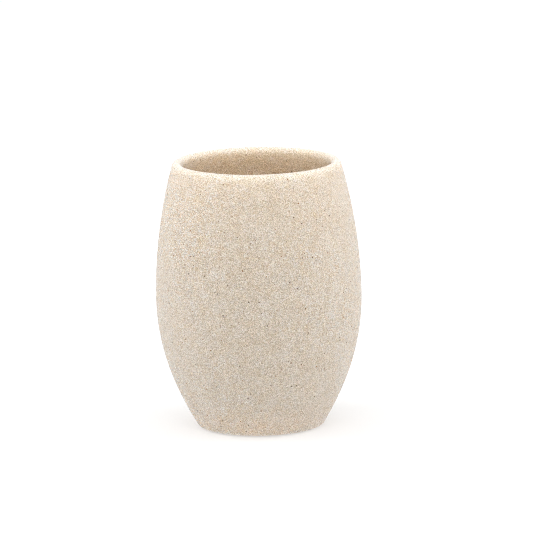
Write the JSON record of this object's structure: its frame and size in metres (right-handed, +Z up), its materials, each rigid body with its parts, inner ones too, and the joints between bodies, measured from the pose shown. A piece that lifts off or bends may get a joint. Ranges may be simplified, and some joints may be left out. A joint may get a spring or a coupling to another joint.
{
  "type": "toothbrush holder",
  "caption": "Barrel-shaped stone-effect tumbler with a rounded lip and an open top, standing on non-slip pads, to hold toothbrushes upright.",
  "frame": {"origin": "on the surface that the object stands on, under the middle of the tumbler", "axes": "+Z up, along the tumbler's axis of revolution; -Y faces the viewer of the picture"},
  "size_m": [0.0808, 0.0808, 0.1055],
  "materials": {
    "stone_effect_resin": "matte",
    "pad_rubber": "matte"
  },
  "bodies": {
    "root": {"cup": "stone_effect_resin", "foot_pad_front_left": "pad_rubber", "foot_pad_front_right": "pad_rubber", "foot_pad_back_left": "pad_rubber", "foot_pad_back_right": "pad_rubber"}
  },
  "joints": []
}
